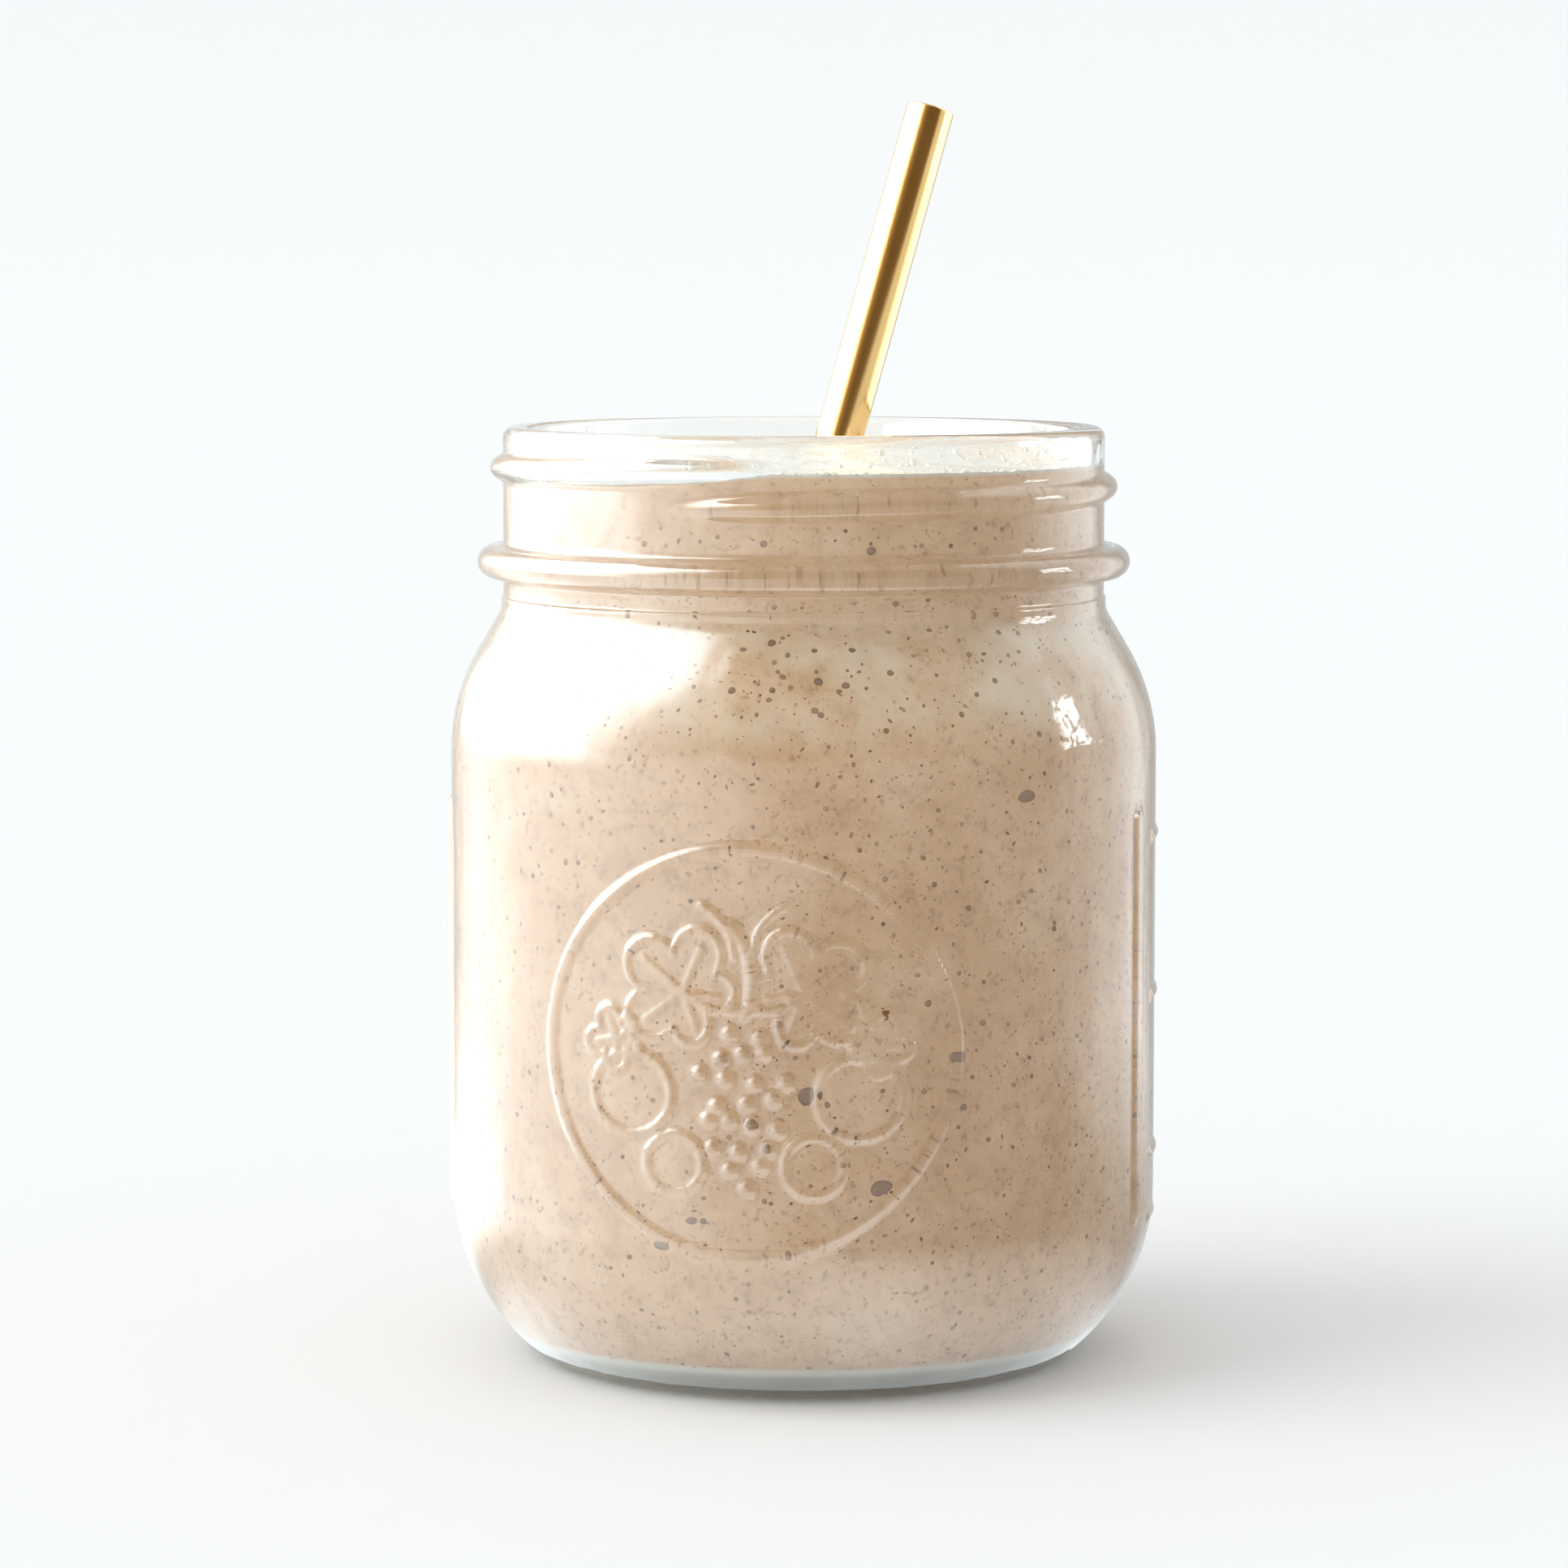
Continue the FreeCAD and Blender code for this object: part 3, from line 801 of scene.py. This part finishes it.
# %% [markdown]
# ## Specks, bubbles and foam
#
# - Brown specks are ground spice and date skin, a few tenths of a millimetre across, everywhere.
# - Air bubbles pressed against the glass show as small dark discs, coloured dark brown as painted shade
#   of the hollow. They rise, so they crowd under the bead and on the shoulder.
# - Foam bubbles ring the top, where the drink meets the wall, and thin out towards the middle.

# %% Where they crowd
bead_reach, thread_reach = 2.6, 2.2


def in_sight(r, z):
    """Against the glass, and not behind the bead or the thread, which would smear what lies there."""
    behind = (np.abs(z - bead_height) < bead_reach) | (np.abs(z - thread_low - 0.5) < thread_reach)
    return (z < level - 0.6) & (z > floor_height + 0.5) & ~behind


def peak(distance, width):
    return np.exp(-(distance / width) ** 2)


def bubble_crowding(r, z):
    """Most on the shoulder, fewer on the neck, a few elsewhere."""
    return np.where(in_sight(r, z), 0.06 + peak(z - 89.0, 6.0) + 0.5 * peak(z - 101.8, 2.0), 0.0)


def foam_crowding(r, z):
    """Thick along the wall, thin in the middle."""
    on_top = (z > level - 0.5) & (r < inner_neck_radius + 0.1)
    return np.where(on_top, 0.08 + peak(inner_neck_radius - r, 2.2), 0.0)


painted(milkshake, "specks_here", lambda r, z: np.where(in_sight(r, z), 1.0, 0.0))
painted(milkshake, "bubbles_here", bubble_crowding)
painted(milkshake, "foam_here", foam_crowding)


# %% Their materials
def toned(name, roughness, scale, detail, *tones):
    """A material whose colour wanders between tones."""
    made, tree, shader = material(name, Roughness=roughness)
    tree.links.new(ramp(tree, object_noise(tree, scale, detail), *tones), shader.inputs["Base Color"])
    return made


speck_finish = toned("brown_speck", 0.6, 260.0, 1.0,
                     (0.35, (0.25, 0.125, 0.06)), (0.5, (0.42, 0.24, 0.135)), (0.65, (0.56, 0.37, 0.235)))
# Painted shade: the air pockets' dark brown stands for the shade inside each hollow.
bubble_shade_finish = toned("air_bubble", 0.3, 300.0, 1.0, (0.35, (0.31, 0.175, 0.095)), (0.6, (0.44, 0.275, 0.165)))
foam_finish = toned("foam_bubble", 0.12, 500.0, 1.0, (0.35, (0.74, 0.66, 0.55)), (0.6, (0.85, 0.81, 0.75)))

# %% Scattered pieces
scatter_crumbs = scatter_tree("scatter_crumbs", crumb)
scatter_balls = scatter_tree("scatter_balls", ball)
specks = grown("brown_specks", milkshake, scatter_crumbs, {
    "Crowding": "specks_here", "Most Per Square Metre": 230000.0, "Nearest": 0.4 * MM,
    "Smallest": 0.12 * MM, "Largest": 0.42 * MM, "Evenness": 2.6, "Thickness": 0.45, "Narrowest": 0.4,
    "Seed": 3, "Finish": speck_finish})
bubbles = grown("air_bubbles", milkshake, scatter_balls, {
    "Crowding": "bubbles_here", "Most Per Square Metre": 90000.0, "Nearest": 0.8 * MM,
    "Smallest": 0.14 * MM, "Largest": 0.45 * MM, "Evenness": 1.8, "Thickness": 0.3, "Narrowest": 0.85,
    "Seed": 8, "Finish": bubble_shade_finish})
foam = grown("foam_bubbles", milkshake, scatter_balls, {
    "Crowding": "foam_here", "Most Per Square Metre": 1500000.0, "Nearest": 0.5 * MM,
    "Smallest": 0.16 * MM, "Largest": 0.6 * MM, "Evenness": 3.0, "Thickness": 0.6, "Narrowest": 0.95,
    "Seed": 21, "Finish": foam_finish})

# %% [markdown]
# ## Large bubbles
#
# A few pockets of air are big enough to see one by one. Each is a flat lens against the glass, darker
# than the drink because it shows the shade behind it. Those round the medallion were read off the picture, in
# whole degrees and millimetres from its middle; the small ones under the bead, and a few on the sides
# and back, are strewn at random.

# %% Large bubbles
def drink_radius(height):
    """The drink's own radius at a height, in mm."""
    rows = [(z, r) for r, z in side_rows]
    return float(np.interp(height, *zip(*rows)))


def lens_mesh(spots, thickness):
    """Flattened balls that lie against the glass, one for each (azimuth, height, width, tall)."""
    sides, slices = 20, np.radians((-60, -30, 0, 30, 60))
    points, faces = [], []
    for azimuth, height, width, tall in spots:
        out = np.array([math.sin(math.radians(azimuth)), -math.cos(math.radians(azimuth)), 0.0])
        across = np.array([-out[1], out[0], 0.0])
        lean = drink_radius(height + 0.5) - drink_radius(height - 0.5)
        up = out * lean + np.array([0.0, 0.0, 1.0])
        up /= np.linalg.norm(up)
        normal = np.cross(across, up) * thickness
        middle = out * drink_radius(height) + np.array([0.0, 0.0, height])
        first = len(points)
        for t in slices:
            for a in np.linspace(0, 2 * math.pi, sides, endpoint=False):
                uneven = 1 + 0.06 * math.sin(2 * a + azimuth) + 0.04 * math.sin(3 * a + height)
                spoke = across * math.cos(a) * width / 2 + up * math.sin(a) * tall / 2
                points.append(middle + spoke * math.cos(t) * uneven + normal * math.sin(t))
        points += [middle - normal, middle + normal]
        last_ring, poles = first + (len(slices) - 1) * sides, first + len(slices) * sides
        for a in range(sides):
            b = (a + 1) % sides
            for start in range(first, last_ring, sides):
                faces.append((start + a, start + b, start + sides + b, start + sides + a))
            faces.append((poles, first + b, first + a))
            faces.append((poles + 1, last_ring + a, last_ring + b))
    mesh = bpy.data.meshes.new("large_bubbles")
    mesh.from_pydata((np.array(points) * MM).tolist(), [], faces)
    mesh.shade_smooth()
    return mesh


# %% Where the large bubbles lie
beside_medallion = [
    (48, 29, 2.3, 1.5), (10, -5, 2.3, 2.2), (22, -16, 2.7, 1.9), (-14, -23, 1.9, 1.2), (-9, -20, 1.3, 0.9),
    (-7, -20, 0.8, 0.8), (35, -1, 1.3, 1.2), (13, -6, 1.0, 0.8), (36, -7, 0.8, 0.8)]
strewn_seed = 5
draw = np.random.default_rng(strewn_seed)


def strewn(count, azimuths, heights, widths):
    """Bubbles at random in a band, each nearly round."""
    return [(draw.uniform(*azimuths), draw.uniform(*heights), width, width * draw.uniform(0.75, 1.0))
            for width in draw.uniform(*widths, count)]


large_spots = [(math.degrees(medallion_azimuth) + turn, medallion_height + up, width, tall)
               for turn, up, width, tall in beside_medallion]
large_spots += strewn(12, (-20, 12), (82, 90), (0.65, 1.0))
large_spots += strewn(2, (-10, 14), (100, 102), (0.9, 1.1))
large_spots += strewn(6, (95, 265), (30, 88), (1.1, 2.0))
large = placed(lens_mesh(large_spots, 0.16), "large_bubbles")
# Painted shade: the lenses' dark brown stands for the shade inside each air pocket.
large.data.materials.append(toned("large_air_bubble_shade", 0.2, 180.0, 2.0,
                                  (0.35, (0.29, 0.18, 0.12)), (0.65, (0.42, 0.28, 0.20))))
print("large_bubbles has", triangles(large), "triangles")

# %% [markdown]
# ## The straw
#
# A straight metal tube with rolled ends. The built straw already says where it stands and how it
# leans, so its axis is measured from that solid: the direction in which its points spread the most.
# The tube is turned upright and then laid along that axis.

# %% Straw
straw_points = np.array([v.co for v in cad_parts["straw"].data.vertices])
spread_along = np.linalg.svd(straw_points - straw_points.mean(0), full_matrices=False)[2][0]
axis = spread_along * np.sign(spread_along[2])
along = (straw_points - straw_points.mean(0)) @ axis
foot = straw_points.mean(0) + axis * along.min()
straw_length = (along.max() - along.min()) / MM
off_axis = straw_points - straw_points.mean(0) - np.outer(along, axis)
straw_radius = np.linalg.norm(off_axis, axis=1).max() / MM
print("the straw is %.1f mm long and %.2f mm across" % (straw_length, 2 * straw_radius))

tube_wall = 0.5
edge = tube_wall / 2
tube_profile = chained([
    arc((straw_radius - edge, straw_length - edge), edge, 0, 180, 8),
    arc((straw_radius - edge, edge), edge, 180, 360, 8)], 12.0)
tube_columns = every(5.0)
tube_mesh = turned("metal_straw", tube_profile + [tube_profile[0]], lambda i: tube_columns,
                   lambda a, r, z, i: (np.full_like(a, r), np.full_like(a, z)))
side_way = np.cross(axis, (0, 0, 1))
side_way /= np.linalg.norm(side_way)
lay = np.column_stack([side_way, np.cross(axis, side_way), axis])
upright = np.array([v.co for v in tube_mesh.vertices])
tube_mesh.vertices.foreach_set("co", (upright @ lay.T + foot).astype(np.float32).ravel())
straw = placed(tube_mesh, "metal_straw")

# %% [markdown]
# ## Gold-coloured metal
#
# The coating is thin, smooth and mirror-like, so nearly all of its look is what it reflects. Fine
# streaks run along the tube from polishing, and they soften the reflections a little.

# %% Straw material
gold, gold_tree, gold_shader = material(
    "polished_gold_metal", Metallic=1.0, Roughness=0.14, Base_Color=(0.92, 0.60, 0.25, 1))
gold_tone = ramp(gold_tree, object_noise(gold_tree, 90.0, 2.0, 0.5),
                 (0.3, (0.89, 0.56, 0.22)), (0.7, (0.95, 0.63, 0.28)))
gold_tree.links.new(gold_tone, gold_shader.inputs["Base Color"])
bump(gold_tree, gold_shader, object_noise(gold_tree, 2500.0, 1.0, 0.5, (1, 1, 0.02)), 0.004 * MM)
straw.data.materials.append(gold)

# %% [markdown]
# ## Floor and backdrop
#
# A sheet of pale card that lies on the table and sweeps up behind the jar, so that no horizon shows.

# %% Backdrop
sweep_front, sweep_back, sweep_radius, sweep_top, sweep_half = -1.6, 1.3, 0.6, 2.2, 2.6
bend = [(sweep_back + sweep_radius * math.sin(t), sweep_radius * (1 - math.cos(t)))
        for t in np.linspace(0, math.pi / 2, 17)]
sweep_line = [(sweep_front, 0.0)] + bend + [(sweep_back + sweep_radius, sweep_top)]
sweep_points = [(x, y, z) for y, z in sweep_line for x in (-sweep_half, sweep_half)]
sweep_faces = [(2 * i, 2 * i + 1, 2 * i + 3, 2 * i + 2) for i in range(len(sweep_line) - 1)]
sweep_mesh = bpy.data.meshes.new("backdrop")
sweep_mesh.from_pydata(sweep_points, [], sweep_faces)
sweep_mesh.shade_smooth()
backdrop = placed(sweep_mesh, "backdrop")
card = material("pale_card", Base_Color=(0.872, 0.878, 0.882, 1), Roughness=1.0, Specular_IOR_Level=0.0)[0]
backdrop.data.materials.append(card)

# %% [markdown]
# ## Light
#
# The room is pale all round, so the world is one even light. A large soft sun from the front left adds
# a gentle shadow on the right. Area lights could do the same, but they fall off with distance, and
# the backdrop would go grey.

# %% Room and soft sun
world = bpy.data.worlds.new("room")
bpy.context.scene.world = world
world.use_nodes = True
background = world.node_tree.nodes["Background"]
background.inputs["Color"].default_value = (0.99, 1.0, 1.0, 1)
background.inputs["Strength"].default_value = 0.92

sun_azimuth, sun_height = math.radians(-74.0), math.radians(42.0)
soft_sun = bpy.data.lights.new("soft_sun", "SUN")
soft_sun.angle = math.radians(46.0)
soft_sun.energy = 0.96
soft_sun.color = (0.95, 1.0, 1.02)
sun_holder = bpy.data.objects.new("soft_sun", soft_sun)
sun_holder.rotation_euler = (math.radians(90) - sun_height, 0, sun_azimuth)
bpy.context.scene.collection.objects.link(sun_holder)
bpy.context.scene.view_settings.view_transform = "Standard"
bpy.context.scene.cycles.glossy_bounces = 6

# %% [markdown]
# ## What the glass mirrors
#
# Glass and metal look like what they mirror. Round the jar stands a tall tube of paper, and only
# mirror rays see it: bright like a window on the left, white like a table low down, and dim in
# front, where the room is. The dim part draws the dark stripe down the metal straw. Real panels could
# be set there instead, but close to the jar they would also flood it with light.

# %% Paper tube
tube_hole, tube_radius, tube_foot, tube_top, tube_sides = 0.034, 0.50, 0.0004, 0.95, 96
turns = np.linspace(0, 2 * math.pi, tube_sides, endpoint=False)
tube_rows = (tube_hole, tube_foot), (tube_radius, tube_foot), (tube_radius, tube_top)
tube_points = [(r * math.sin(t), -r * math.cos(t), z) for r, z in tube_rows for t in turns]
tube_faces = [(k + i, k + (i + 1) % tube_sides, k + tube_sides + (i + 1) % tube_sides, k + tube_sides + i)
              for k in (0, tube_sides) for i in range(tube_sides)]
paper_mesh = bpy.data.meshes.new("paper_tube")
paper_mesh.from_pydata(tube_points, [], tube_faces)
paper_tube = placed(paper_mesh, "paper_tube")
paper_tube.visible_camera = paper_tube.visible_diffuse = paper_tube.visible_transmission = False
paper_tube.visible_shadow = paper_tube.visible_volume_scatter = False

# %% [markdown]
# ## Painting light on the paper
#
# Each light on the paper is a product of steps: where it begins and ends round the jar (degrees from
# the front, positive to the right), up the paper, and along the floor away from the jar (metres).

# %% Places on the paper
paper = bpy.data.materials.new("lit_paper")
paper.use_nodes = True
paper_tree = paper.node_tree
paper_x, paper_y, paper_height = object_axes(paper_tree)


def product(*values):
    result = values[0]
    for value in values[1:]:
        result = maths(paper_tree, "MULTIPLY", result, value)
    return result


def fade(value, none, full, kind="SMOOTHSTEP"):
    return step(paper_tree, value, none, full, kind)


def without(value, share):
    """1 where value is 0, down to 1 - share where value is 1."""
    return maths(paper_tree, "SUBTRACT", 1.0, product(value, share))


paper_turn = maths(paper_tree, "DEGREES", maths(paper_tree, "ARCTAN2", paper_x, product(paper_y, -1.0)))
squares = maths(paper_tree, "ADD", product(paper_x, paper_x), product(paper_y, paper_y))
from_axis = maths(paper_tree, "SQRT", squares)
wobble = product(maths(paper_tree, "SUBTRACT", object_noise(paper_tree, 15.0, 2.0), 0.5), 14.0)
uneven_turn = maths(paper_tree, "ADD", paper_turn, wobble)
slant = product(fade(paper_height, 0.10, 0.60, "LINEAR"), 26.0)
slanted_turn = maths(paper_tree, "SUBTRACT", paper_turn, slant)

# %% Lights on the paper
behind = fade(paper_turn, -158.0, -108.0)
table_light = product(fade(paper_turn, 0.0, -62.0, "LINEAR"), behind, fade(from_axis, 0.04, 0.13),
                      without(fade(paper_height, 0.09, 0.15), 0.4))
window_light = product(fade(slanted_turn, -54.0, -84.0), behind, fade(paper_height, 0.04, 0.13))
far_window = product(fade(uneven_turn, 88.0, 91.0), fade(uneven_turn, 105.0, 102.0),
                     fade(paper_height, 0.100, 0.106), fade(paper_height, 0.275, 0.262),
                     fade(object_noise(paper_tree, 40.0, 2.0), 0.40, 0.52))
near_jar = product(fade(from_axis, 0.13, 0.06), fade(from_axis, 0.026, 0.05),
                   fade(maths(paper_tree, "ABSOLUTE", paper_turn), 105.0, 60.0),
                   without(table_light, 0.95), without(fade(paper_turn, 10.0, 60.0), 0.5))
right_wall = product(fade(paper_turn, 76.0, 106.0), fade(paper_turn, 152.0, 132.0), fade(from_axis, 0.1, 0.3))
right_shade = fade(paper_turn, 118.0, 150.0)
room_dim = product(fade(paper_turn, -44.0, -18.0), fade(paper_turn, 64.0, 52.0), fade(paper_height, 0.12, 0.16))

# %% Paper material
paper_white, room_brown = (0.92, 1.0, 1.03, 1), (1.0, 0.72, 0.38, 1)
brightness = 0.9
for light, strength in ((table_light, 5.7), (near_jar, 3.6), (right_wall, 1.8), (window_light, 12.0),
                        (far_window, 11.0), (right_shade, -0.25)):
    brightness = maths(paper_tree, "ADD", brightness, product(light, strength))
paper_tree.nodes.remove(paper_tree.nodes["Principled BSDF"])
glow = paper_tree.nodes.new("ShaderNodeEmission")
paper_tree.links.new(product(brightness, without(room_dim, 0.81)), glow.inputs["Strength"])
paper_tree.links.new(mixed(paper_tree, room_dim, paper_white, room_brown), glow.inputs["Color"])
paper_tree.links.new(glow.outputs["Emission"], paper_tree.nodes["Material Output"].inputs["Surface"])
paper_mesh.materials.append(paper)

# %% [markdown]
# ## What stands for what
#
# Each looks piece rides on the one rigid body, and each built solid that it stands for is hidden.

# %% Hand over to the frame
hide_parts("jar")
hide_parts("milkshake")
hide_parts("straw")
for piece, slot in ((jar_glass, "glass"), (milkshake, "milkshake"), (straw, "gold_metal"),
                    (specks, "milkshake"), (bubbles, "milkshake"), (large, "milkshake"), (foam, "milkshake")):
    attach(piece, "root")
